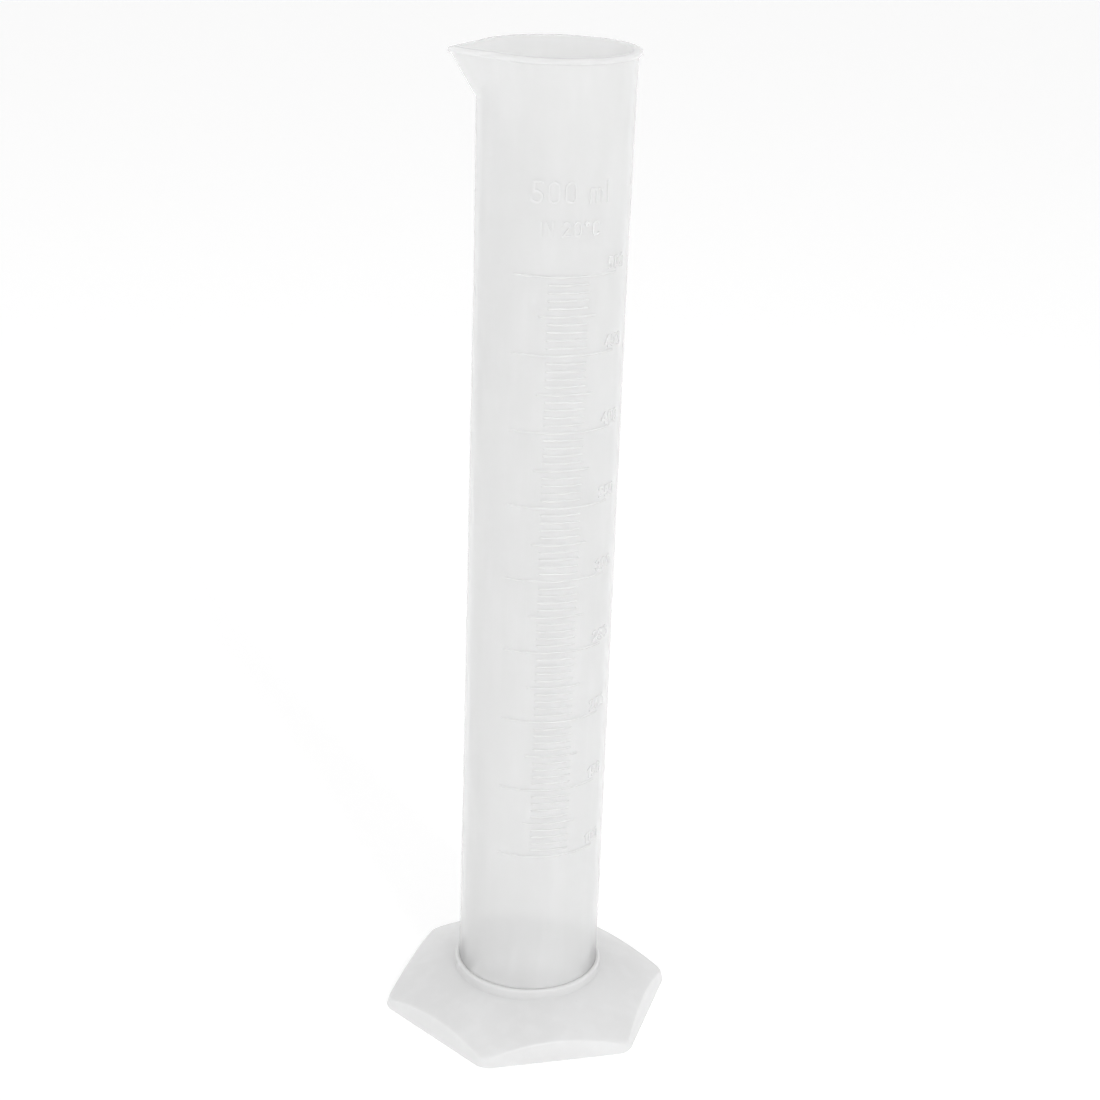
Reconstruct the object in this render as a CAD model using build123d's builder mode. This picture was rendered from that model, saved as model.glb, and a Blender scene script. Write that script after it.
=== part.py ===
from build123d import *

import os
from math import acos, cos, pi, radians, sin, sqrt

# A graduated measuring cylinder in translucent moulded plastic: a tube with its own floor, a rolled
# lip and a pouring spout, standing in the socket of a hollow hexagonal foot, with a raised scale.
#
# Millimetres, +Z up. The origin is on the tube's axis, at the height of the surface it stands on.
# The spout points to -X, over a corner of the foot. The scale faces -Y.

# ---- what it measures ---------------------------------------------------------------------------
capacity_ml = 500
first_mark_ml = 100
minor_step_ml = 5
half_step_ml = 25
major_step_ml = 50

# ---- tube ---------------------------------------------------------------------------------------
tube_radius = 26.2
tube_wall = 1.9
floor_height = 19.4  # the inside of the tube's floor, where zero ml is
floor_thickness = 2.2
floor_corner = 1.5
flare = 0.6  # how much wider the tube is at its lip than along its scale
flare_clearance = 3.0  # straight wall left above the top mark
headspace = 71.0  # from the top mark to the lip

# ---- lip and spout ------------------------------------------------------------------------------
lip_height = 2.0
lip_overhang = 1.25
lip_rounding = 0.95
lip_tip_radius = 1.4
spout_overhang = 8.75  # how far the spout's tip stands beyond the round of the lip
spout_depth = 16.8  # from the lip down to the spout's root
spout_crease = 0.6  # radius of the fold along the spout, outside
channel_crease = 0.5  # and inside
spout_tip_wall = 2.5  # from the end of the channel to the tip of the lip
spout_tip_step = 0.1  # from the fold, at the lip's top, to the tip of the lip
spout_sections = 6
root_share = 0.01  # the spout's first section, as a share of its depth

# ---- foot ---------------------------------------------------------------------------------------
foot_across_flats = 96.3
foot_corner = 7.0
foot_lean = 15.0  # degrees that the sides lean inwards
foot_wall = 2.0
foot_crease = 0.8
dome_radius = 112.0
shoulder_height = 13.7  # where the domed top meets the collar
collar_height = 17.5
collar_wall = 1.35
collar_rounding = 0.6
socket_clearance = 0.05
seat_height = 6.0
seat_width = 3.9
seat_thickness = 2.0

# ---- raised scale -------------------------------------------------------------------------------
relief = 0.35
line_width = 0.7
scale_azimuth = -90.0
short_half_span = 15.7  # degrees each side of the scale's middle
half_half_span = 22.0
long_half_span = 42.0
numeral_azimuth = scale_azimuth + long_half_span
numeral_height = 4.5
numeral_stroke = 0.7
numeral_gap = 0.8  # from a line up to the number that stands on it
volume_legend_height = 7.5
volume_legend_rise = 28.0  # from the top mark to the middle of the row
temperature_legend_height = 5.2
temperature_legend_rise = 16.0
volume_legend_stroke = 0.9
temperature_legend_stroke = 0.7
letter_gap = 0.34  # between two characters, as a share of their height
letter_bite = 0.3  # how deep a character is drawn into the wall before it is trimmed to it

# Each character is drawn with strokes of one width, in a box one unit high: its width, then its straight
# strokes (from, to) and its round ones (centre, radius, start and extent in degrees).
characters = {
    "0": (0.5, [((0, 0.25), (0, 0.75)), ((0.5, 0.25), (0.5, 0.75))],
          [((0.25, 0.75), 0.25, 0, 180), ((0.25, 0.25), 0.25, 180, 180)]),
    "1": (0.3, [((0.25, 0), (0.25, 1)), ((0.25, 1), (0.05, 0.8))], []),
    "2": (0.5, [((0.455, 0.607), (0, 0)), ((0, 0), (0.5, 0))], [((0.25, 0.75), 0.25, -35, 215)]),
    "3": (0.5, [], [((0.25, 0.75), 0.25, -90, 250), ((0.25, 0.25), 0.25, -160, 250)]),
    "4": (0.52, [((0.4, 0), (0.4, 1)), ((0.4, 1), (0, 0.3)), ((0, 0.3), (0.52, 0.3))], []),
    "5": (0.5, [((0.47, 1), (0.07, 1)), ((0.07, 1), (0.04, 0.495))], [((0.22, 0.28), 0.28, -150, 280)]),
    "6": (0.5, [((0, 0.25), (0, 0.75))],
          [((0.25, 0.75), 0.25, 40, 140), ((0.25, 0.25), 0.25, 0, 180), ((0.25, 0.25), 0.25, 180, 180)]),
    "7": (0.5, [((0, 1), (0.5, 1)), ((0.5, 1), (0.15, 0))], []),
    "8": (0.5, [], [((0.25, 0.25), 0.25, 0, 180), ((0.25, 0.25), 0.25, 180, 180),
                    ((0.25, 0.75), 0.25, 0, 180), ((0.25, 0.75), 0.25, 180, 180)]),
    "9": (0.5, [((0.5, 0.25), (0.5, 0.75))],
          [((0.25, 0.25), 0.25, 220, 140), ((0.25, 0.75), 0.25, 0, 180), ((0.25, 0.75), 0.25, 180, 180)]),
    "C": (0.48, [((0, 0.25), (0, 0.75))], [((0.25, 0.75), 0.25, 25, 155), ((0.25, 0.25), 0.25, 180, 155)]),
    "I": (0.0, [((0, 0), (0, 1))], []),
    "N": (0.5, [((0, 0), (0, 1)), ((0, 1), (0.5, 0)), ((0.5, 0), (0.5, 1))], []),
    "l": (0.0, [((0, 0), (0, 1))], []),
    "m": (0.68, [((0, 0), (0, 0.65)), ((0.34, 0), (0.34, 0.48)), ((0.68, 0), (0.68, 0.48))],
          [((0.17, 0.48), 0.17, 0, 180), ((0.51, 0.48), 0.17, 0, 180)]),
    "°": (0.3, [], [((0.15, 0.85), 0.15, 0, 180), ((0.15, 0.85), 0.15, 180, 180)]),
    " ": (0.1, [], []),
}

# ---- worked out from the values above -----------------------------------------------------------
bore_radius = tube_radius - tube_wall
mm_per_ml = 1000 / (pi * bore_radius**2)
top_mark = floor_height + capacity_ml * mm_per_ml
flare_start = top_mark + flare_clearance
tube_top = top_mark + headspace
lip_radius = tube_radius + flare + lip_overhang
lip_reach = lip_radius + spout_overhang
spout_angle = acos((lip_radius - lip_tip_radius) / (lip_reach - lip_tip_radius))
spout_root = tube_top - spout_depth
spout_fold = lip_reach - spout_tip_step  # from the axis, at the lip
channel_fold = lip_reach - spout_tip_wall
socket_radius = tube_radius + socket_clearance
collar_radius = socket_radius + collar_wall
dome_centre = shoulder_height - sqrt(dome_radius**2 - collar_radius**2)


def wall_radius(height):
    """Outer radius of the tube's wall at a height."""
    rise = max(0.0, height - flare_start) / (tube_top - flare_start)
    return tube_radius + flare * rise


def mark_height(volume):
    """Height of the line that stands for a volume in ml."""
    return floor_height + volume * mm_per_ml


def turned(*points):
    """A solid turned about Z from a closed outline of (radius, height) points."""
    with BuildPart() as solid:
        with BuildSketch(Plane.XZ):
            with BuildLine():
                Polyline(*points, close=True)
            make_face()
        revolve(axis=Axis.Z)
    return solid.part


def drawn_out_circle(radius, half_angle, tip_radius):
    """A circle about the origin, drawn out to a rounded point at -X by two tangent lines."""
    reach = (radius - tip_radius) / cos(half_angle)
    square = Vector(-cos(half_angle), sin(half_angle))  # square to the upper tangent line
    mirrored = Vector(square.X, -square.Y)
    tip = Vector(-reach, 0)
    with BuildSketch() as outline:
        with BuildLine():
            ThreePointArc(square * radius, (radius, 0), mirrored * radius)
            Line(mirrored * radius, tip + mirrored * tip_radius)
            ThreePointArc(tip + mirrored * tip_radius, (-reach - tip_radius, 0), tip + square * tip_radius)
            Line(tip + square * tip_radius, square * radius)
        make_face()
    return outline.sketch


def spouted_wall(top, inset, crease, top_fold):
    """The upper part of the tube with its spout, as a solid that ends at a height.

    The round part is moved in by an inset. The fold along the spout has a crease of its own and runs
    straight from the spout's root out to a distance from the axis at the lip.
    """
    overhang = top_fold - (wall_radius(tube_top) - inset)
    with BuildPart() as body:
        for step in range(spout_sections + 1):
            share = max((step / spout_sections) ** 2 * (top - spout_root) / spout_depth, root_share)
            height = spout_root + share * spout_depth
            radius = wall_radius(height) - inset
            half_angle = acos((radius - crease) / (radius + share * overhang - crease))
            with BuildSketch(Plane.XY.offset(height)):
                add(drawn_out_circle(radius, half_angle, crease))
        loft(ruled=True)
    return body.part


def foot_block(inset):
    """The foot's outer form as a solid, its sides and its domed top moved in by an inset."""
    side_inset = inset / cos(radians(foot_lean))
    with BuildPart() as block:
        with BuildSketch() as plan:
            RegularPolygon(foot_across_flats / 2 - side_inset, 6, major_radius=False)
            fillet(plan.vertices(), foot_corner - inset)
        extrude(amount=shoulder_height * 2, taper=foot_lean)
        with Locations((0, 0, dome_centre)):
            Sphere(dome_radius - inset, mode=Mode.INTERSECT)
    return block.part


def scale_lines(volumes, half_span):
    """Raised lines on the tube, one for each volume, each side of the scale's middle."""
    start = radians(scale_azimuth - half_span)
    section = Plane(origin=(0, 0, 0), x_dir=(cos(start), sin(start), 0), z_dir=(sin(start), -cos(start), 0))
    with BuildPart() as lines:
        with BuildSketch(section):
            with Locations(*[(tube_radius + relief / 2, mark_height(volume)) for volume in volumes]):
                Rectangle(relief, line_width)
        revolve(axis=Axis.Z, revolution_arc=2 * half_span)
    return lines.part


def character_face(character, height, stroke):
    """One character as a flat face, its lower left corner at the origin."""
    _, straight, round_strokes = characters[character]
    with BuildSketch() as face:
        for start, end in straight:
            start, end = Vector(*start) * height, Vector(*end) * height
            with Locations((start + end) / 2):
                angle = Vector(1, 0).get_signed_angle(end - start, Vector(0, 0, 1))
                SlotCenterToCenter((end - start).length, stroke, rotation=angle)
        for centre, radius, start_angle, extent in round_strokes:
            arc = CenterArc(Vector(*centre) * height, radius * height, start_angle, extent, mode=Mode.PRIVATE)
            SlotArc(arc, stroke)
    return face.sketch


def raised_text(rows, azimuth, text_height, stroke):
    """Raised text on the tube: (text, height of its middle) rows about an azimuth."""
    height = text_height - stroke
    with BuildPart() as text:
        for words, middle in rows:
            widths = [characters[character][0] * height + letter_gap * height for character in words]
            start = (letter_gap * height - sum(widths)) / 2
            for index, character in enumerate(words):
                width = widths[index] - letter_gap * height
                centre = start + sum(widths[:index]) + width / 2
                angle = radians(azimuth) + centre / tube_radius
                outwards = Vector(cos(angle), sin(angle), 0)
                along = Vector(-sin(angle), cos(angle), 0)
                base = outwards * (wall_radius(middle) + 2 * relief) - along * (width / 2)
                base += Vector(0, 0, middle - height / 2)
                if character == " ":
                    continue
                with BuildSketch(Plane(origin=base, x_dir=along, z_dir=outwards)):
                    add(character_face(character, height, stroke))
                extrude(amount=-2 * relief - letter_bite)
        add(relief_shell, mode=Mode.INTERSECT)
    return text.part


# ---- tube: floor, wall, lip and spout in one moulding -------------------------------------------
with BuildPart() as lip:
    with BuildSketch(Plane.XY.offset(tube_top - lip_height)):
        add(drawn_out_circle(lip_radius, spout_angle, lip_tip_radius))
    extrude(amount=lip_height)
    fillet(lip.edges().group_by(Axis.Z)[0] + lip.edges().group_by(Axis.Z)[-1], lip_rounding)

wall_start = spout_root + root_share * spout_depth

tube_rod = turned(
    (0, seat_height),
    (tube_radius, seat_height),
    (tube_radius, flare_start),
    (wall_radius(wall_start), wall_start),
    (0, wall_start),
)

with BuildPart() as tube_bore:
    add(
        turned(
            (0, floor_height),
            (bore_radius, floor_height),
            (bore_radius, flare_start),
            (wall_radius(wall_start) - tube_wall, wall_start),
            (0, wall_start),
        )
    )
    fillet(tube_bore.edges().filter_by(GeomType.CIRCLE).sort_by(Axis.Z)[0], floor_corner)
    add(spouted_wall(tube_top, tube_wall, channel_crease, channel_fold))

with BuildPart() as tube:
    add(tube_rod)
    add(spouted_wall(tube_top - lip_height / 2, 0, spout_crease, spout_fold))
    add(lip.part)
    add(tube_bore.part, mode=Mode.SUBTRACT)
    # the skirt under the floor, which stands in the foot's socket
    with BuildSketch(Plane.XY.offset(seat_height)):
        Circle(bore_radius)
    extrude(amount=floor_height - floor_thickness - seat_height, mode=Mode.SUBTRACT)
tube.part.label = "tube"

# ---- foot: a hollow hexagonal shell with a collar and a socket for the tube ---------------------
with BuildPart() as socket:
    add(
        turned(
            (socket_radius - seat_width, seat_height - seat_thickness),
            (collar_radius, seat_height - seat_thickness),
            (collar_radius, collar_height),
            (socket_radius, collar_height),
            (socket_radius, seat_height),
            (socket_radius - seat_width, seat_height),
        )
    )
    fillet(socket.edges().group_by(Axis.Z)[-1].sort_by(SortBy.LENGTH)[-1], collar_rounding)

with BuildPart() as foot:
    add(foot_block(0))
    fillet(foot.faces().filter_by(GeomType.SPHERE).edges(), foot_crease)
    add(foot_block(foot_wall), mode=Mode.SUBTRACT)
    with BuildSketch():
        Circle(socket_radius)
    extrude(amount=dome_radius, mode=Mode.SUBTRACT)
    add(socket.part)
foot.part.label = "foot"

# ---- raised scale -------------------------------------------------------------------------------
relief_shell = turned(
    (tube_radius, floor_height),
    (tube_radius, flare_start),
    (wall_radius(tube_top), tube_top),
    (wall_radius(tube_top) + relief, tube_top),
    (tube_radius + relief, flare_start),
    (tube_radius + relief, floor_height),
)

all_marks = range(first_mark_ml, capacity_ml + 1, minor_step_ml)
long_volumes = [volume for volume in all_marks if volume % major_step_ml == 0]
half_volumes = [volume for volume in all_marks if volume % half_step_ml == 0 and volume % major_step_ml]
short_volumes = [volume for volume in all_marks if volume % half_step_ml]
numeral_rise = line_width / 2 + numeral_gap + numeral_height / 2

relief_pieces = {
    "short_marks": scale_lines(short_volumes, short_half_span),
    "half_marks": scale_lines(half_volumes, half_half_span),
    "long_marks": scale_lines(long_volumes, long_half_span),
    "scale_numerals": raised_text(
        [(str(volume), mark_height(volume) + numeral_rise) for volume in long_volumes],
        numeral_azimuth,
        numeral_height,
        numeral_stroke,
    ),
    "volume_legend": raised_text(
        [(f"{capacity_ml} ml", top_mark + volume_legend_rise)],
        scale_azimuth,
        volume_legend_height,
        volume_legend_stroke,
    ),
    "temperature_legend": raised_text(
        [("IN 20°C", top_mark + temperature_legend_rise)],
        scale_azimuth,
        temperature_legend_height,
        temperature_legend_stroke,
    ),
}
for name, piece in relief_pieces.items():
    piece.label = name

# ---- one STEP file for each piece ---------------------------------------------------------------
os.makedirs("parts", exist_ok=True)
for piece in [tube.part, foot.part, *relief_pieces.values()]:
    export_step(piece, f"parts/{piece.label}.step")
print(f"overall height {tube_top:.2f} mm, top mark at {top_mark:.2f} mm")
print(f"{mm_per_ml * minor_step_ml:.3f} mm from one line to the next")
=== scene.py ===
"""A translucent measuring cylinder: a moulded tube with a spout, standing in a hollow hexagonal foot.

Everything is in metres, +Z up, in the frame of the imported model. The origin is on the tube's axis, on
the surface that the cylinder stands on. The spout points to -X and the scale faces -Y.
"""

import logging
import math
from dataclasses import dataclass, field
from enum import Enum
from typing import Any, Callable, Sequence, Union

import bmesh
import bpy
from mathutils import Matrix, Vector

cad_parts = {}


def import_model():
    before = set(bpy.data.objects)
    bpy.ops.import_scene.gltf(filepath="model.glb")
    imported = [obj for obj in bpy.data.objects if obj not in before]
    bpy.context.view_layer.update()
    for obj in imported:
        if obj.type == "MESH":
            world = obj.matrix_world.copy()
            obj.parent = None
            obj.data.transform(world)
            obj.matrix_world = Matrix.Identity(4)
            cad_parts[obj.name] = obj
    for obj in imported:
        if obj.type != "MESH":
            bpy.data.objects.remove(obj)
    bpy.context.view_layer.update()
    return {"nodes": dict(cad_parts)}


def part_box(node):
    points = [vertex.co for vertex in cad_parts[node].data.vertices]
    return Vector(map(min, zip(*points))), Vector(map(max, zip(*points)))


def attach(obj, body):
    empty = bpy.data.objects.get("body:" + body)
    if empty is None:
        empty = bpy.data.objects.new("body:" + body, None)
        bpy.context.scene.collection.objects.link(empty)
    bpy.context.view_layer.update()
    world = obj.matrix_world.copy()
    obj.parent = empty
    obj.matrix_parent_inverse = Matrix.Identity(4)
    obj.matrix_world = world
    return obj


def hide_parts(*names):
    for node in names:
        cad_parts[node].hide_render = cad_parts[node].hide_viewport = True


MM = 0.001
log = logging.getLogger("measuring_cylinder")

Colour = tuple[float, float, float, float]
Point = tuple[float, float]
Section = list[Point]


class Slot(Enum):
    """The record's material slots."""

    TUBE = "tube_plastic"
    FOOT = "foot_plastic"
    SCALE = "scale_relief"


# ---- shader building ----------------------------------------------------------------------------


class Value:
    """A socket that carries a number, on which Python's arithmetic adds Math nodes."""

    def __init__(self, graph: "Graph", socket: bpy.types.NodeSocket) -> None:
        """Keep the socket and the graph that it belongs to.

        Args:
            graph: The graph that new Math nodes go into.
            socket: The output socket to wrap.
        """
        self.graph = graph
        self.socket = socket

    def _math(self, operation: str, first: Any, second: Any) -> "Value":
        """One Math node.

        Args:
            operation: The Math node's operation.
            first: Its first value or socket.
            second: Its second value or socket.

        Returns:
            The node's result.
        """
        settings = {"operation": operation}
        return self.graph.node("ShaderNodeMath", settings, {0: first, 1: second}).value(0)

    def __add__(self, other: Any) -> "Value":
        """This plus another."""
        return self._math("ADD", self, other)

    def __radd__(self, other: Any) -> "Value":
        """Another plus this."""
        return self._math("ADD", other, self)

    def __sub__(self, other: Any) -> "Value":
        """This less another."""
        return self._math("SUBTRACT", self, other)

    def __rsub__(self, other: Any) -> "Value":
        """Another less this."""
        return self._math("SUBTRACT", other, self)

    def __mul__(self, other: Any) -> "Value":
        """This times another."""
        return self._math("MULTIPLY", self, other)

    def __rmul__(self, other: Any) -> "Value":
        """Another times this."""
        return self._math("MULTIPLY", other, self)

    def __abs__(self) -> "Value":
        """This without its sign."""
        return self.graph.node("ShaderNodeMath", {"operation": "ABSOLUTE"}, {0: self}).value(0)

    def between(self, low: float, high: float) -> "Value":
        """A smooth step of this from 0 at the low value to 1 at the high one.

        Args:
            low: Where the step starts.
            high: Where it ends.

        Returns:
            The step, from 0 to 1.
        """
        settings = {"interpolation_type": "SMOOTHSTEP"}
        return self.graph.node("ShaderNodeMapRange", settings, {"Value": self, 1: low, 2: high}).value(0)


@dataclass
class Made:
    """A node that has been added to a graph."""

    graph: "Graph"
    raw: bpy.types.Node

    def value(self, name: Union[int, str]) -> Value:
        """One of the node's outputs, as a number to reckon with."""
        return Value(self.graph, self.raw.outputs[name])

    def output(self, name: Union[int, str]) -> bpy.types.NodeSocket:
        """One of the node's outputs, as it is."""
        return self.raw.outputs[name]


class Graph:
    """The node tree of one material or world, started empty."""

    def __init__(self, tree: bpy.types.NodeTree) -> None:
        """Take a tree over and clear it.

        Args:
            tree: The node tree to fill.
        """
        self.tree = tree
        tree.nodes.clear()

    def node(self, kind: str, settings: dict[str, Any], inputs: dict[Union[int, str], Any]) -> Made:
        """Add a node.

        Args:
            kind: The node's type.
            settings: Its properties, set before its inputs.
            inputs: A value, a wrapped value or a socket for each input, by name or number.

        Returns:
            The node made.
        """
        raw = self.tree.nodes.new(kind)
        for name, setting in settings.items():
            setattr(raw, name, setting)
        for name, given in inputs.items():
            if isinstance(given, Value):
                given = given.socket
            if isinstance(given, bpy.types.NodeSocket):
                self.tree.links.new(given, raw.inputs[name])
            else:
                raw.inputs[name].default_value = given
        return Made(self, raw)

    def place(self, stretch: tuple[float, float, float]) -> bpy.types.NodeSocket:
        """Where a point is on its piece, in metres, with each axis stretched.

        Args:
            stretch: What each axis is multiplied by.

        Returns:
            The stretched coordinates.
        """
        here = self.node("ShaderNodeTexCoord", {}, {}).output("Object")
        settings = {"operation": "MULTIPLY"}
        return self.node("ShaderNodeVectorMath", settings, {0: here, 1: stretch}).output(0)

    def noise(self, scale: float, detail: float, stretch: tuple[float, float, float] = (1, 1, 1)) -> Value:
        """A cloudy pattern from 0 to 1.

        Args:
            scale: Clouds to the metre.
            detail: Octaves of finer pattern.
            stretch: What each axis is multiplied by first.

        Returns:
            The pattern.
        """
        inputs = {"Vector": self.place(stretch), "Scale": scale, "Detail": detail, "Roughness": 0.55}
        return self.node("ShaderNodeTexNoise", {}, inputs).value(0)

    def blend(self, factor: Any, low: Colour, high: Colour) -> bpy.types.NodeSocket:
        """A colour between two others.

        Args:
            factor: 0 for the low colour, 1 for the high one.
            low: The first colour.
            high: The second colour.

        Returns:
            The colour's socket.
        """
        settings = {"data_type": "RGBA"}
        return self.node("ShaderNodeMix", settings, {0: factor, 6: low, 7: high}).output(2)


def grey(tone: float, coolness: float = 0.0) -> Colour:
    """A grey, a shade bluer or warmer.

    Args:
        tone: How light it is, from 0 to 1.
        coolness: How much more blue than red it holds.

    Returns:
        The colour.
    """
    return (tone - coolness, tone, tone + coolness, 1.0)


# ---- finishes -----------------------------------------------------------------------------------


@dataclass(frozen=True)
class MilkyPlastic:
    """Natural polypropylene as it comes from the mould: milky, satin and a little cloudy.

    The colour drifts between a thin and a milky tone along the way the melt flowed. The skin has the
    mould's fine texture, a slow ripple, and a few hair scratches from handling.
    """

    name: str
    thin_tone: float
    milky_tone: float
    see_through: float  # share of the light that passes one skin of the wall
    roughness: float
    flow_stretch: tuple[float, float, float]
    cloud_scale: float = 26.0
    cloud_edges: tuple[float, float] = (0.34, 0.68)
    cloud_share: float = 0.62  # of the milkiness, against the streaks
    cloud_roughness: float = 0.09
    streak_scale: float = 130.0
    streak_edges: tuple[float, float] = (0.42, 0.7)
    speck_scale: float = 900.0
    speck_edges: tuple[float, float] = (0.66, 0.78)
    speck_clearness: float = 0.5
    speck_roughness: float = 0.06
    scratch_scale: float = 420.0
    scratch_stretch: tuple[float, float, float] = (1, 1, 0.04)
    scratch_width: float = 0.006
    scratch_height: float = 0.00002
    scratch_roughness: float = 0.12
    handled_scale: float = 30.0
    handled_edges: tuple[float, float] = (0.5, 0.62)
    texture_scale: float = 2600.0
    texture_height: float = 0.000012
    ripple_scale: float = 70.0
    ripple_height: float = 0.00022
    coolness: float = 0.002
    glow: float = 0.85  # share of the light that wanders inside the plastic
    glow_depth: float = 0.002
    gloss: float = 0.6
    gloss_roughness: float = 0.22
    refraction: float = 1.49

    def material(self) -> bpy.types.Material:
        """Build the material.

        Returns:
            The finished material.
        """
        material = bpy.data.materials.new(self.name)
        material.use_nodes = True
        graph = Graph(material.node_tree)
        clouds = graph.noise(self.cloud_scale, 3.0, self.flow_stretch).between(*self.cloud_edges)
        streaks = graph.noise(self.streak_scale, 2.0, self.flow_stretch).between(*self.streak_edges)
        specks = graph.noise(self.speck_scale, 1.0).between(*self.speck_edges)
        scratches = self.scratches(graph)
        milkiness = self.cloud_share * clouds + (1 - self.cloud_share) * streaks
        milkiness = milkiness * (1 - self.speck_clearness * specks)
        colour = graph.blend(milkiness, grey(self.thin_tone), grey(self.milky_tone, self.coolness))
        roughness = self.roughness + self.cloud_roughness * clouds + self.speck_roughness * specks
        roughness = roughness + self.scratch_roughness * scratches
        texture = graph.noise(self.texture_scale, 2.0)
        ripple = graph.noise(self.ripple_scale, 1.0, self.flow_stretch)
        height = self.texture_height * texture + self.ripple_height * ripple
        height = height - self.scratch_height * scratches
        bump = graph.node("ShaderNodeBump", {}, {"Strength": 1.0, "Distance": 1.0, "Height": height})
        shader = graph.node(
            "ShaderNodeBsdfPrincipled",
            {"subsurface_method": "RANDOM_WALK"},
            {
                "Base Color": colour,
                "Roughness": roughness,
                "Normal": bump.output("Normal"),
                "Alpha": 1 - self.see_through,
                "IOR": self.refraction,
                "Subsurface Weight": self.glow,
                "Subsurface Radius": (1.0, 1.0, 1.0),
                "Subsurface Scale": self.glow_depth,
                "Coat Weight": self.gloss,
                "Coat Roughness": self.gloss_roughness,
            },
        )
        graph.node("ShaderNodeOutputMaterial", {}, {"Surface": shader.output(0)})
        return material

    def scratches(self, graph: Graph) -> Value:
        """Hair scratches that run mostly up and down.

        Args:
            graph: The graph to add them to.

        Returns:
            1 in a scratch and 0 beside it.
        """
        wander = graph.noise(self.scratch_scale, 2.0, self.scratch_stretch)
        handled = graph.noise(self.handled_scale, 1.0).between(*self.handled_edges)
        return (1 - abs(wander - 0.5).between(0.0, self.scratch_width)) * handled


@dataclass(frozen=True)
class StudioPaper:
    """The pale, even paper that the cylinder stands on."""

    name: str = "studio_paper"
    tone: float = 0.9
    fibre_tone: float = 0.91
    fibre_scale: float = 900.0
    lift: float = 0.3

    def material(self) -> bpy.types.Material:
        """Build the material.

        Returns:
            The finished material.
        """
        material = bpy.data.materials.new(self.name)
        material.use_nodes = True
        graph = Graph(material.node_tree)
        fibres = graph.noise(self.fibre_scale, 3.0)
        colour = graph.blend(fibres, grey(self.tone), grey(self.fibre_tone))
        inputs = {
            "Base Color": colour,
            "Roughness": 0.9,
            "Specular IOR Level": 0.1,
            "Emission Color": grey(1.0),
            "Emission Strength": self.lift,
        }
        shader = graph.node("ShaderNodeBsdfPrincipled", {}, inputs)
        graph.node("ShaderNodeOutputMaterial", {}, {"Surface": shader.output(0)})
        return material


# ---- outlines and sections ----------------------------------------------------------------------


@dataclass(frozen=True)
class DrawnOutCircle:
    """A circle drawn out to a rounded point by two tangent lines, seen from its own centre."""

    radius: float
    half_angle: float  # from the point to where a tangent line meets the circle
    crease: float  # radius of the point

    def distance(self, turn: float) -> float:
        """How far the outline is from the centre.

        Args:
            turn: The angle from the point, in radians.

        Returns:
            The distance in that direction.
        """
        turn = abs(turn)
        if turn >= self.half_angle:
            return self.radius
        crease_centre = (self.radius - self.crease) / math.cos(self.half_angle)
        across = self.crease * math.sin(self.half_angle)
        along = crease_centre + self.crease * math.cos(self.half_angle)
        if turn > math.atan2(across, along):
            return self.radius / math.cos(self.half_angle - turn)
        offset = crease_centre * math.sin(turn)
        return crease_centre * math.cos(turn) + math.sqrt(max(0.0, self.crease**2 - offset**2))


@dataclass(frozen=True)
class Corner:
    """A corner of a section, with how it is rounded and how the run that leads to it is divided."""

    radius: float
    height: float
    rounding: float = 0.0
    divisions: int = 1


def rounded_section(corners: Sequence[Corner], steps: int = 5) -> Section:
    """A section's points, with arcs at its rounded corners.

    Args:
        corners: The corners in order.
        steps: Spans in each arc.

    Returns:
        The points as (radius, height), always as many for the same kinds of corners.
    """
    points: Section = []
    count = len(corners)
    for index, corner in enumerate(corners):
        here = Vector((corner.radius, corner.height))
        before = corners[index - 1]
        after = corners[(index + 1) % count]
        arc = [here]
        if corner.rounding:
            back = (Vector((before.radius, before.height)) - here).normalized()
            onward = (Vector((after.radius, after.height)) - here).normalized()
            arc = corner_arc(here, back, onward, corner.rounding, steps)
        if points:
            start = Vector(points[-1])
            for division in range(1, corner.divisions):
                points.append(tuple(start.lerp(arc[0], division / corner.divisions)))
        points.extend(tuple(point) for point in arc)
    return points


def corner_arc(corner: Vector, back: Vector, onward: Vector, rounding: float, steps: int) -> list[Vector]:
    """The arc that rounds a corner.

    Args:
        corner: The corner.
        back: The direction back along the run that leads to it.
        onward: The direction of the run that leaves it.
        rounding: The arc's radius.
        steps: Spans in the arc.

    Returns:
        The arc's points.
    """
    half = back.angle(onward) / 2
    reach = rounding / math.tan(half)
    middle = (back + onward).normalized()
    centre = corner + middle * (rounding / math.sin(half))
    first = corner + back * reach - centre
    last = corner + onward * reach - centre
    sweep = first.angle(last)
    return [
        centre + (first * math.sin((1 - share) * sweep) + last * math.sin(share * sweep)) / math.sin(sweep)
        for share in (step / steps for step in range(steps + 1))
    ]


def mirrored_turns(half: Sequence[float]) -> list[float]:
    """Angles on both sides of zero, all round.

    Args:
        half: Angles from 0 to 180 degrees, both included.

    Returns:
        The angles all round, in radians.
    """
    both = list(half) + [-angle for angle in reversed(half[1:-1])]
    return [math.radians(angle) for angle in both]


def growing_steps(first: float, ratio: float, largest: float, end: float) -> list[float]:
    """Values from 0 whose steps grow up to a largest step.

    Args:
        first: The first step.
        ratio: How much each step is larger than the last.
        largest: The largest step.
        end: The last value, which is met exactly.

    Returns:
        The values.
    """
    values = [0.0]
    step = first
    while values[-1] + step < end:
        values.append(values[-1] + step)
        step = min(step * ratio, largest)
    scale = end / values[-1]
    return [value * scale for value in values]


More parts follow.
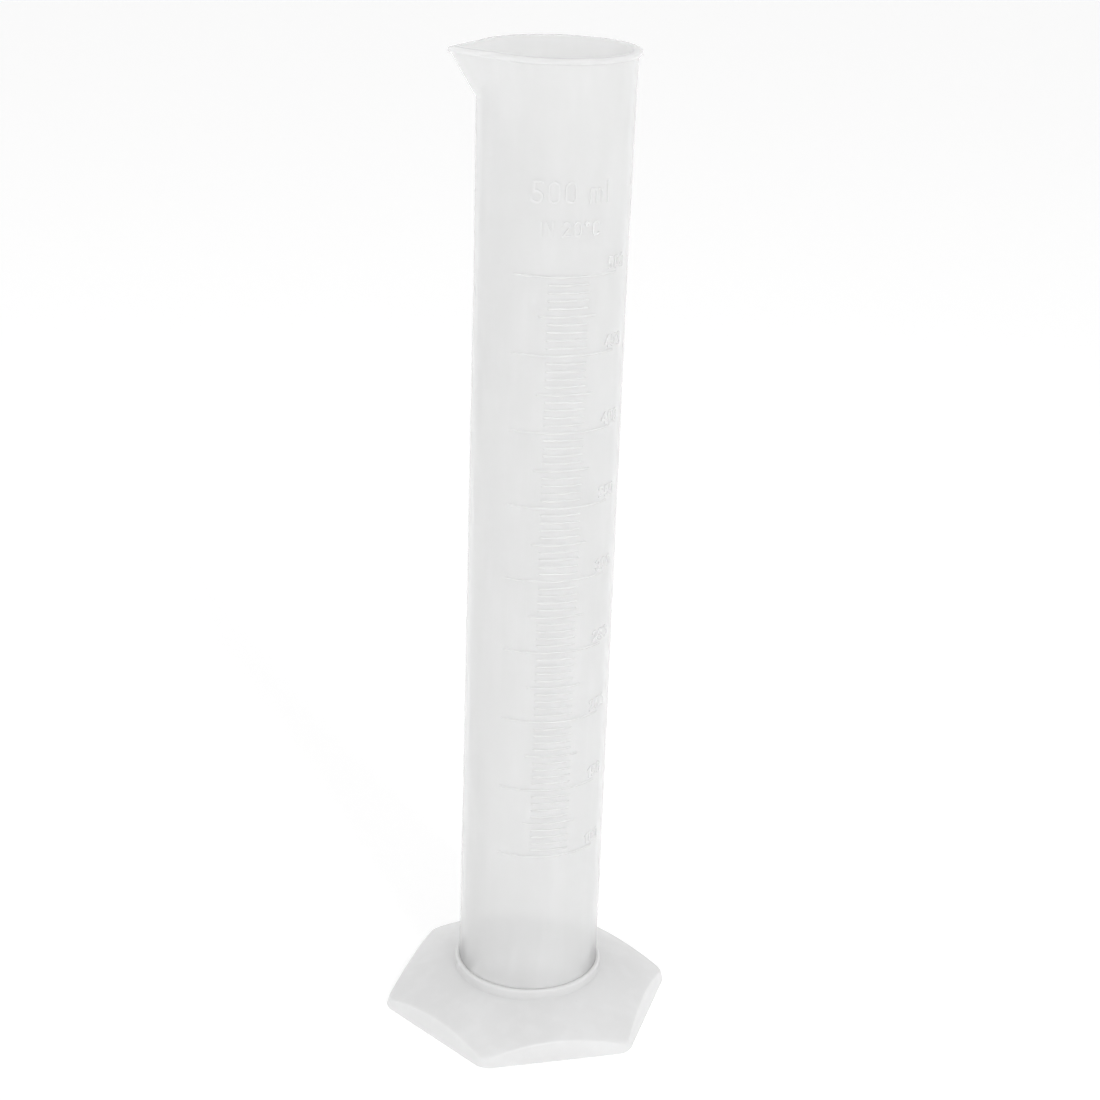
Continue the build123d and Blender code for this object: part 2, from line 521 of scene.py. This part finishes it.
def skin_sections(
    name: str,
    turns: Sequence[float],
    section: Callable[[float], Section],
    closed: bool,
) -> bpy.types.Object:
    """A piece whose surface runs through one section at each angle round the axis.

    Args:
        name: The piece's name.
        turns: The angles from -X, in radians.
        section: Gives the section at an angle, with as many points at each.
        closed: Whether a section is a closed loop. If not, its first and last points lie on the axis.

    Returns:
        The piece, with smooth faces.
    """
    mesh = bpy.data.meshes.new(name)
    builder = bmesh.new()
    columns = []
    poles: dict[int, bmesh.types.BMVert] = {}
    for turn in turns:
        points = section(turn)
        column = []
        for index, (radius, height) in enumerate(points):
            on_axis = not closed and index in (0, len(points) - 1)
            if on_axis and index in poles:
                column.append(poles[index])
                continue
            place = Vector((-radius * math.cos(turn), radius * math.sin(turn), height)) * MM
            vertex = builder.verts.new(place)
            if on_axis:
                poles[index] = vertex
            column.append(vertex)
        columns.append(column)
    rows = len(columns[0])
    for left, right in zip(columns, columns[1:] + columns[:1]):
        for row in range(rows if closed else rows - 1):
            above = (row + 1) % rows
            corners = []
            for vertex in (left[row], right[row], right[above], left[above]):
                if vertex not in corners:
                    corners.append(vertex)
            builder.faces.new(corners)
    finish_mesh(builder, mesh)
    return link_piece(name, mesh)


def finish_mesh(builder: bmesh.types.BMesh, mesh: bpy.types.Mesh) -> None:
    """Turn a built form into a mesh with smooth faces that point outwards.

    Args:
        builder: The form, which is freed.
        mesh: The mesh to fill.
    """
    bmesh.ops.recalc_face_normals(builder, faces=builder.faces)
    for face in builder.faces:
        face.smooth = True
    builder.to_mesh(mesh)
    builder.free()


def link_piece(name: str, mesh: bpy.types.Mesh) -> bpy.types.Object:
    """Put a mesh into the scene as a piece."""
    piece = bpy.data.objects.new(name, mesh)
    bpy.context.scene.collection.objects.link(piece)
    return piece


def dress(piece: bpy.types.Object, material: bpy.types.Material) -> None:
    """Give a piece one material all over."""
    piece.data.materials.clear()
    piece.data.materials.append(material)


# ---- tube ---------------------------------------------------------------------------------------


@dataclass
class Tube:
    """The tube with its floor, skirt, rolled lip and spout. Sizes are in millimetres."""

    wall: float = 1.9
    floor_top: float = 19.4
    floor_thickness: float = 2.2
    floor_corner: float = 1.5
    skirt_corner: float = 1.0
    flare: float = 0.6
    flare_length: float = 68.0
    lip_overhang: float = 1.25
    lip_height: float = 2.0
    lip_rounding: float = 0.95
    lip_tip_radius: float = 1.4
    mouth_rounding: float = 0.5
    spout_depth: float = 16.8
    spout_crease: float = 0.6
    channel_crease: float = 0.5
    spout_tip_wall: float = 2.5
    spout_tip_step: float = 0.1
    edge_rounding: float = 0.3
    gate_radius: float = 1.7
    gate_height: float = 0.5
    spout_sections: int = 14
    wall_divisions: int = 24
    flare_divisions: int = 4
    floor_divisions: int = 6
    fold_span: float = 46.0  # degrees each side of the spout's fold that are divided finely
    fold_step: float = 0.12
    fold_growth: float = 1.09
    fold_largest: float = 1.5
    round_steps: int = 67  # over the rest of each half
    top: float = field(init=False)
    bottom: float = field(init=False)
    lip_radius: float = field(init=False)
    lip_reach: float = field(init=False)

    def __post_init__(self) -> None:
        """Take the overall sizes from the frame."""
        low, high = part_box("tube")
        self.top = high.z / MM
        self.bottom = low.z / MM
        self.lip_radius = high.x / MM
        self.lip_reach = -low.x / MM

    @property
    def radius(self) -> float:
        """Outer radius of the straight part."""
        return self.lip_radius - self.lip_overhang - self.flare

    @property
    def spout_angle(self) -> float:
        """Half the angle that the spout takes up in the lip."""
        return math.acos((self.lip_radius - self.lip_tip_radius) / (self.lip_reach - self.lip_tip_radius))

    @property
    def spout_root(self) -> float:
        """Height at which the spout starts to leave the wall."""
        return self.top - self.spout_depth

    def wall_radius(self, height: float) -> float:
        """Outer radius of the round wall at a height."""
        rise = max(0.0, height - self.top + self.flare_length) / self.flare_length
        return self.radius + self.flare * rise

    def spouted(self, turn: float, height: float, inset: float, crease: float, top_fold: float) -> float:
        """Distance from the axis to the spouted wall.

        Args:
            turn: The angle from the spout, in radians.
            height: The height.
            inset: How far the wall is moved in.
            crease: Radius of the spout's fold.
            top_fold: Distance of the fold from the axis at the top.

        Returns:
            The distance.
        """
        radius = self.wall_radius(height) - inset
        share = max(0.0, (height - self.spout_root) / self.spout_depth)
        overhang = top_fold - (self.wall_radius(self.top) - inset)
        half_angle = math.acos((radius - crease) / (radius + share * overhang - crease))
        return DrawnOutCircle(radius, half_angle, crease).distance(turn)

    def outside(self, turn: float, height: float) -> float:
        """Distance from the axis to the wall's outer face."""
        return self.spouted(turn, height, 0.0, self.spout_crease, self.lip_reach - self.spout_tip_step)

    def inside(self, turn: float, height: float) -> float:
        """Distance from the axis to the wall's inner face."""
        top_fold = self.lip_reach - self.spout_tip_wall
        return self.spouted(turn, height, self.wall, self.channel_crease, top_fold)

    def spout_heights(self, end: float) -> list[float]:
        """Heights of the spout's sections, closer together at its root.

        Args:
            end: The height below which they stay.

        Returns:
            The heights from the root up.
        """
        shares = [(step / self.spout_sections) ** 2 for step in range(self.spout_sections)]
        heights = [self.spout_root + share * self.spout_depth for share in shares]
        return [height for height in heights if height < end]

    def section(self, turn: float) -> Section:
        """The closed section of the tube at an angle, from its floor's middle to the gate under it.

        Args:
            turn: The angle from the spout, in radians.

        Returns:
            The section's points.
        """
        bore = self.radius - self.wall
        flare_start = self.top - self.flare_length
        lip = DrawnOutCircle(self.lip_radius, self.spout_angle, self.lip_tip_radius).distance(turn)
        lip_foot = self.top - self.lip_height
        floor_bottom = self.floor_top - self.floor_thickness
        inner_heights = self.spout_heights(self.top - self.mouth_rounding * 2)
        outer_heights = self.spout_heights(lip_foot - self.edge_rounding * 2)
        root, *above_root = inner_heights
        corners = [
            Corner(0.0, self.floor_top),
            Corner(bore, self.floor_top, self.floor_corner, divisions=self.floor_divisions),
            Corner(bore, flare_start, divisions=self.wall_divisions),
            Corner(self.inside(turn, root), root, divisions=self.flare_divisions),
            *(Corner(self.inside(turn, height), height) for height in above_root),
            Corner(self.inside(turn, self.top), self.top, self.mouth_rounding),
            Corner(lip, self.top, self.lip_rounding),
            Corner(lip, lip_foot, self.lip_rounding),
            Corner(self.outside(turn, lip_foot), lip_foot, self.edge_rounding),
            *(Corner(self.outside(turn, height), height) for height in reversed(outer_heights)),
            Corner(self.radius, flare_start, divisions=self.flare_divisions),
            Corner(self.radius, self.bottom, self.edge_rounding, divisions=self.wall_divisions),
            Corner(bore, self.bottom, self.edge_rounding),
            Corner(bore, floor_bottom, self.skirt_corner),
            Corner(self.gate_radius, floor_bottom, divisions=self.floor_divisions),
            Corner(self.gate_radius - self.edge_rounding, floor_bottom - self.gate_height),
            Corner(0.0, floor_bottom - self.gate_height),
        ]
        return rounded_section(corners)

    def build(self) -> bpy.types.Object:
        """Build the tube's mesh.

        Returns:
            The tube.
        """
        beside_fold = growing_steps(self.fold_step, self.fold_growth, self.fold_largest, self.fold_span)
        round_step = (180.0 - self.fold_span) / self.round_steps
        round_part = [self.fold_span + round_step * step for step in range(1, self.round_steps + 1)]
        turns = mirrored_turns(beside_fold + round_part)
        return skin_sections("tube_moulding", turns, self.section, closed=False)

    def dress(self, piece: bpy.types.Object, material: bpy.types.Material) -> None:
        """Give the tube its finish, and put it in the CAD tube's place.

        Args:
            piece: The tube.
            material: Its material.
        """
        dress(piece, material)
        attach(piece, "root")
        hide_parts("tube")
        log.info("tube: %.1f mm high, %d faces", self.top - self.bottom, len(piece.data.polygons))


# ---- foot ---------------------------------------------------------------------------------------


@dataclass
class Foot:
    """The hollow hexagonal foot with its collar and socket. Sizes are in millimetres and degrees."""

    tube_radius: float
    corner_turn: float = 60.0  # from one corner to the next
    corner_radius: float = 7.0
    least_corner: float = 0.5
    lean: float = 15.0
    wall: float = 2.0
    crease: float = 1.2
    dome_radius: float = 112.0
    shoulder: float = 13.7
    collar_wall: float = 1.35
    collar_rounding: float = 1.0
    collar_fillet: float = 0.7
    collar_mouth_rounding: float = 0.1
    socket_clearance: float = 0.05
    seat_height: float = 6.0
    seat_width: float = 3.9
    seat_thickness: float = 2.0
    edge_rounding: float = 0.3
    dome_divisions: int = 8
    side_divisions: int = 3
    crease_halvings: int = 40
    corner_step: float = 0.6
    corner_growth: float = 1.12
    corner_largest: float = 2.2
    half_flats: float = field(init=False)
    collar_top: float = field(init=False)

    def __post_init__(self) -> None:
        """Take the overall sizes from the frame."""
        _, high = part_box("foot")
        self.half_flats = high.y / MM
        self.collar_top = high.z / MM

    @property
    def socket_radius(self) -> float:
        """Radius of the socket's bore."""
        return self.tube_radius + self.socket_clearance

    @property
    def collar_radius(self) -> float:
        """Outer radius of the collar."""
        return self.socket_radius + self.collar_wall

    @property
    def dome_centre(self) -> float:
        """Height of the centre of the domed top, far below the foot."""
        return self.shoulder - math.sqrt(self.dome_radius**2 - self.collar_radius**2)

    def side(self, turn: float, height: float, inset: float) -> float:
        """Distance from the axis to a side of the foot.

        Args:
            turn: The angle from the corner under the spout, in radians.
            height: The height.
            inset: How far the side is moved in, square to its face.

        Returns:
            The distance.
        """
        sixth = math.radians(self.corner_turn)
        from_corner = (turn + sixth / 2) % sixth - sixth / 2
        lean = height * math.tan(math.radians(self.lean))
        apothem = self.half_flats - inset / math.cos(math.radians(self.lean)) - lean
        corner = max(self.least_corner, self.corner_radius - inset - lean)
        return DrawnOutCircle(apothem, sixth / 2, corner).distance(from_corner)

    def dome(self, radius: float, inset: float) -> float:
        """Height of the domed top at a distance from the axis."""
        return self.dome_centre + math.sqrt((self.dome_radius - inset) ** 2 - radius**2)

    def crease_at(self, turn: float, inset: float) -> Point:
        """Where a side meets the domed top.

        Args:
            turn: The angle from the corner under the spout, in radians.
            inset: How far both are moved in.

        Returns:
            The distance from the axis and the height.
        """
        low, high = -self.shoulder, self.shoulder
        for _ in range(self.crease_halvings):
            middle = (low + high) / 2
            if self.dome(self.side(turn, middle, inset), inset) > middle:
                low = middle
            else:
                high = middle
        return self.side(turn, low, inset), low

    def dome_corners(self, start: Point, end_radius: float, inset: float) -> list[Corner]:
        """Points of the domed top between a crease and another radius, neither included.

        Args:
            start: The crease.
            end_radius: The radius at the other end.
            inset: How far the dome is moved in.

        Returns:
            The points in order from the crease.
        """
        shares = [step / self.dome_divisions for step in range(1, self.dome_divisions)]
        radii = [start[0] + (end_radius - start[0]) * share for share in shares]
        return [Corner(radius, self.dome(radius, inset)) for radius in radii]

    def section(self, turn: float) -> Section:
        """The closed section of the foot at an angle, from its rim up and back under it.

        Args:
            turn: The angle from the corner under the spout, in radians.

        Returns:
            The section's points.
        """
        edge = self.edge_rounding
        crease = self.crease_at(turn, 0.0)
        inner_crease = self.crease_at(turn, self.wall)
        seat_edge = self.socket_radius - self.seat_width
        seat_foot = self.seat_height - self.seat_thickness
        collar = self.collar_radius
        corners = [
            Corner(self.side(turn, 0.0, 0.0), 0.0, edge),
            Corner(*crease, self.crease, divisions=self.side_divisions),
            *self.dome_corners(crease, collar, 0.0),
            Corner(collar, self.dome(collar, 0.0), self.collar_fillet),
            Corner(collar, self.collar_top, self.collar_rounding),
            Corner(self.socket_radius, self.collar_top, self.collar_mouth_rounding),
            Corner(self.socket_radius, self.seat_height),
            Corner(seat_edge, self.seat_height, edge),
            Corner(seat_edge, seat_foot, edge),
            Corner(collar, seat_foot, edge),
            Corner(collar, self.dome(collar, self.wall), edge),
            *reversed(self.dome_corners(inner_crease, collar, self.wall)),
            Corner(*inner_crease, edge),
            Corner(self.side(turn, 0.0, self.wall), 0.0, edge, divisions=self.side_divisions),
        ]
        return rounded_section(corners)

    def build(self) -> bpy.types.Object:
        """Build the foot's mesh.

        Returns:
            The foot.
        """
        sixth = self.corner_turn
        half_side = growing_steps(self.corner_step, self.corner_growth, self.corner_largest, sixth / 2)
        side = half_side + [sixth - angle for angle in reversed(half_side[1:-1])]
        half = [corner * sixth + angle for corner in range(3) for angle in side] + [3 * sixth]
        return skin_sections("foot_moulding", mirrored_turns(half), self.section, closed=True)

    def dress(self, piece: bpy.types.Object, material: bpy.types.Material) -> None:
        """Give the foot its finish, and put it in the CAD foot's place.

        Args:
            piece: The foot.
            material: Its material.
        """
        dress(piece, material)
        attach(piece, "root")
        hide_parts("foot")
        log.info("foot: %.1f mm across its flats, %d faces", 2 * self.half_flats, len(piece.data.polygons))


# ---- raised scale -------------------------------------------------------------------------------


@dataclass
class Scale:
    """The raised lines, numbers and legends on the tube. Sizes are in millimetres and degrees."""

    tube_radius: float
    first_ml: int = 100
    last_ml: int = 500
    step_ml: int = 5
    half_step_ml: int = 25
    long_step_ml: int = 50
    relief: float = 0.35
    line_width: float = 0.7
    root_depth: float = 0.04
    short_half_span: float = 15.7
    half_half_span: float = 22.0
    long_half_span: float = 42.0
    middle: float = 90.0  # round from the spout
    end_taper: float = 0.5
    end_step: float = 0.35  # where the end's first ring is, as a share of the taper
    end_size: float = 0.3
    back_flatness: float = 0.7
    span_step: float = 1.6
    profile_steps: int = 6
    text_rounding: float = 0.13
    text_sharpest: float = 50.0
    weld_distance: float = 0.002
    text_nodes: tuple[str, ...] = ("scale_numerals", "volume_legend", "temperature_legend")
    first_height: float = field(init=False)
    mm_per_ml: float = field(init=False)

    def __post_init__(self) -> None:
        """Take the heights of the first and the last line from the frame."""
        low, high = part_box("long_marks")
        self.first_height = low.z / MM + self.line_width / 2
        last_height = high.z / MM - self.line_width / 2
        self.mm_per_ml = (last_height - self.first_height) / (self.last_ml - self.first_ml)

    def volumes(self, node: str) -> list[int]:
        """Volumes of the lines in a node.

        Args:
            node: The node of lines.

        Returns:
            The volumes in ml.
        """
        every = range(self.first_ml, self.last_ml + 1, self.step_ml)
        if node == "long_marks":
            return [volume for volume in every if volume % self.long_step_ml == 0]
        if node == "half_marks":
            halves = [volume for volume in every if volume % self.half_step_ml == 0]
            return [volume for volume in halves if volume % self.long_step_ml]
        return [volume for volume in every if volume % self.half_step_ml]

    def line(self, builder: bmesh.types.BMesh, height: float, half_span: float) -> None:
        """Add one raised line with a rounded back and tapered ends.

        Args:
            builder: The form to add it to.
            height: The height of its middle.
            half_span: Degrees that it runs each side of the scale's middle.
        """
        taper = math.degrees(self.end_taper / self.tube_radius)
        spans = round(2 * half_span / self.span_step)
        inner = half_span - taper
        angles = [-half_span, -half_span + self.end_step * taper]
        angles += [-inner + 2 * inner * step / spans for step in range(spans + 1)]
        angles += [half_span - self.end_step * taper, half_span]
        rings = []
        for angle in angles:
            share = min(1.0, (half_span - abs(angle)) / taper)
            swell = self.end_size + (1 - self.end_size) * math.sqrt(share)
            rings.append(self.line_ring(builder, height, math.radians(self.middle + angle), swell))
        for left, right in zip(rings, rings[1:]):
            for index in range(len(left)):
                after = (index + 1) % len(left)
                builder.faces.new((left[index], right[index], right[after], left[after]))
        builder.faces.new(rings[0])
        builder.faces.new(rings[-1])

    def line_ring(self, builder: bmesh.types.BMesh, height: float, turn: float, swell: float) -> list[Any]:
        """One cross-section of a raised line.

        Args:
            builder: The form to add it to.
            height: The height of the line's middle.
            turn: The angle from the spout, in radians.
            swell: How large the section is, as a share of its full size.

        Returns:
            The section's vertices.
        """
        points = []
        for step in range(self.profile_steps + 1):
            around = math.pi * step / self.profile_steps
            out = self.relief * swell * math.sin(around) ** self.back_flatness
            points.append((self.tube_radius + out, height - self.line_width / 2 * swell * math.cos(around)))
        points.append((self.tube_radius - self.root_depth, points[-1][1]))
        points.append((self.tube_radius - self.root_depth, points[0][1]))
        places = [Vector((-r * math.cos(turn), -r * math.sin(turn), z)) * MM for r, z in points]
        return [builder.verts.new(place) for place in places]

    def build_lines(self, node: str, half_span: float) -> bpy.types.Object:
        """Build all lines of one length.

        Args:
            node: The CAD node that they stand for.
            half_span: Degrees that each runs to either side.

        Returns:
            The piece.
        """
        mesh = bpy.data.meshes.new(f"{node}_moulding")
        builder = bmesh.new()
        for volume in self.volumes(node):
            self.line(builder, self.first_height + (volume - self.first_ml) * self.mm_per_ml, half_span)
        finish_mesh(builder, mesh)
        return link_piece(f"{node}_moulding", mesh)

    def soften(self, node: bpy.types.Object) -> None:
        """Round the edges of a node of raised text.

        Args:
            node: The CAD node, whose own mesh stays as it is.
        """
        weld = node.modifiers.new("weld", "WELD")
        weld.merge_threshold = self.weld_distance * MM
        bevel = node.modifiers.new("soft_edges", "BEVEL")
        bevel.width = self.text_rounding * MM
        bevel.segments = 2
        bevel.limit_method = "ANGLE"
        bevel.angle_limit = math.radians(self.text_sharpest)

    def dress(self, nodes: dict[str, bpy.types.Object], material: bpy.types.Material) -> None:
        """Make the lines, soften the text, and give all of it its finish.

        Args:
            nodes: The CAD nodes by name.
            material: The scale's material.
        """
        spans = {
            "short_marks": self.short_half_span,
            "half_marks": self.half_half_span,
            "long_marks": self.long_half_span,
        }
        for node, half_span in spans.items():
            piece = self.build_lines(node, half_span)
            dress(piece, material)
            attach(piece, "root")
            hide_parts(node)
            log.info("%s: %d lines", node, len(self.volumes(node)))
        for name in self.text_nodes:
            self.soften(nodes[name])
            dress(nodes[name], material)
            log.info("%s: edges rounded", name)


# ---- studio -------------------------------------------------------------------------------------


@dataclass(frozen=True)
class SoftBox:
    """A large soft lamp that faces the cylinder. Sizes are in metres."""

    name: str
    place: tuple[float, float, float]
    width: float
    height: float
    power: float

    def build(self, target: Vector) -> None:
        """Hang the lamp and aim it.

        Args:
            target: The point that it faces.
        """
        lamp = bpy.data.lights.new(self.name, "AREA")
        lamp.shape = "RECTANGLE"
        lamp.size = self.width
        lamp.size_y = self.height
        lamp.energy = self.power
        holder = bpy.data.objects.new(self.name, lamp)
        bpy.context.scene.collection.objects.link(holder)
        holder.location = self.place
        holder.rotation_euler = (target - Vector(self.place)).to_track_quat("-Z", "Y").to_euler()
        log.info("lamp %s: %.1f W", self.name, self.power)


@dataclass
class Studio:
    """The floor, the light and the camera. Sizes are in metres, and angles in degrees."""

    floor_radius: float = 7.0  # of the level part
    sweep_radius: float = 2.4  # of the curve in which the paper rises round the edge
    sweep_steps: int = 12
    floor_spokes: int = 96
    floor_gap: float = 0.0001
    sky: float = 0.68
    lamps: tuple[SoftBox, ...] = (
        SoftBox("key_softbox", place=(0.35, -1.65, 1.4), width=0.34, height=0.28, power=7.0),
        SoftBox("top_softbox", place=(-0.5, -0.4, 1.9), width=0.8, height=0.8, power=3.0),
    )
    lens: float = 72.34
    sensor: float = 36.0
    camera_turn: float = -14.093
    camera_yaw: float = 0.2465
    camera_pitch: float = 21.208
    camera_roll: float = 1.996
    camera_distance: float = 2.0407  # from the axis, in heights of the cylinder
    camera_height: float = 1.3  # above the floor, in heights of the cylinder

    def build_floor(self) -> None:
        """Lay the floor, a level disc of paper that sweeps up round its edge."""
        mesh = bpy.data.meshes.new("floor")
        builder = bmesh.new()
        turns = [math.tau * spoke / self.floor_spokes for spoke in range(self.floor_spokes)]
        rings = []
        for step in range(self.sweep_steps + 1):
            rise = math.radians(90) * step / self.sweep_steps
            radius = self.floor_radius + self.sweep_radius * math.sin(rise)
            height = self.sweep_radius * (1 - math.cos(rise)) - self.floor_gap
            places = [(radius * math.cos(turn), radius * math.sin(turn), height) for turn in turns]
            rings.append([builder.verts.new(place) for place in places])
        builder.faces.new(rings[0])
        for inner, outer in zip(rings, rings[1:]):
            for spoke in range(self.floor_spokes):
                after = (spoke + 1) % self.floor_spokes
                builder.faces.new((inner[spoke], outer[spoke], outer[after], inner[after])).smooth = True
        builder.to_mesh(mesh)
        builder.free()
        floor = link_piece("floor", mesh)
        dress(floor, StudioPaper().material())
        log.info("floor: %.0f m across", 2 * (self.floor_radius + self.sweep_radius))

    def build_light(self, target: Vector) -> None:
        """Light the scene evenly, with soft lamps in front.

        Args:
            target: The point that the lamps face.
        """
        world = bpy.data.worlds.new("studio")
        world.use_nodes = True
        graph = Graph(world.node_tree)
        background = graph.node("ShaderNodeBackground", {}, {"Color": grey(1.0), "Strength": self.sky})
        graph.node("ShaderNodeOutputWorld", {}, {"Surface": background.output(0)})
        bpy.context.scene.world = world
        for lamp in self.lamps:
            lamp.build(target)

    def build_camera(self, height: float) -> None:
        """Place the camera.

        Args:
            height: The cylinder's height in metres.
        """
        data = bpy.data.cameras.new("camera")
        data.lens = self.lens
        data.sensor_width = self.sensor
        camera = bpy.data.objects.new("camera", data)
        bpy.context.scene.collection.objects.link(camera)
        turn = Matrix.Rotation(math.radians(self.camera_turn), 4, "Z")
        place = turn @ Vector((0, -self.camera_distance * height, self.camera_height * height))
        heading = Matrix.Rotation(math.radians(self.camera_turn - self.camera_yaw), 4, "Z")
        tilt = Matrix.Rotation(math.radians(90 - self.camera_pitch), 4, "X")
        roll = Matrix.Rotation(math.radians(self.camera_roll), 4, "Z")
        camera.matrix_world = Matrix.Translation(place) @ heading @ tilt @ roll
        bpy.context.scene.camera = camera
        bpy.context.scene.view_settings.view_transform = "Standard"


def main() -> None:
    """Build the cylinder and its studio."""
    logging.basicConfig(level=logging.INFO, format="%(message)s")
    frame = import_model()

    tube = Tube()
    foot = Foot(tube_radius=tube.radius)
    scale = Scale(tube_radius=tube.radius)
    tube_finish = MilkyPlastic(
        name=Slot.TUBE.value,
        thin_tone=0.845,
        milky_tone=0.905,
        see_through=0.5,
        roughness=0.3,
        flow_stretch=(1, 1, 0.16),
    )
    foot_finish = MilkyPlastic(
        name=Slot.FOOT.value,
        thin_tone=0.85,
        milky_tone=0.91,
        see_through=0.14,
        roughness=0.28,
        flow_stretch=(1, 1, 1),
    )
    # Painted highlight: the relief is moulded in the tube's own plastic, but its tones are set lighter than
    # the tube's so that the raised marks read lighter, as they do where they catch the light.
    scale_painted_highlight_finish = MilkyPlastic(
        name=Slot.SCALE.value,
        thin_tone=0.94,
        milky_tone=0.98,
        see_through=0.55,
        roughness=0.26,
        flow_stretch=(1, 1, 1),
        glow=0.0,
    )

    tube.dress(tube.build(), tube_finish.material())
    foot.dress(foot.build(), foot_finish.material())
    scale.dress(frame["nodes"], scale_painted_highlight_finish.material())

    studio = Studio()
    studio.build_floor()
    studio.build_light(Vector((0, 0, tube.top * MM / 2)))
    studio.build_camera(tube.top * MM)


if __name__ == "__main__":
    main()
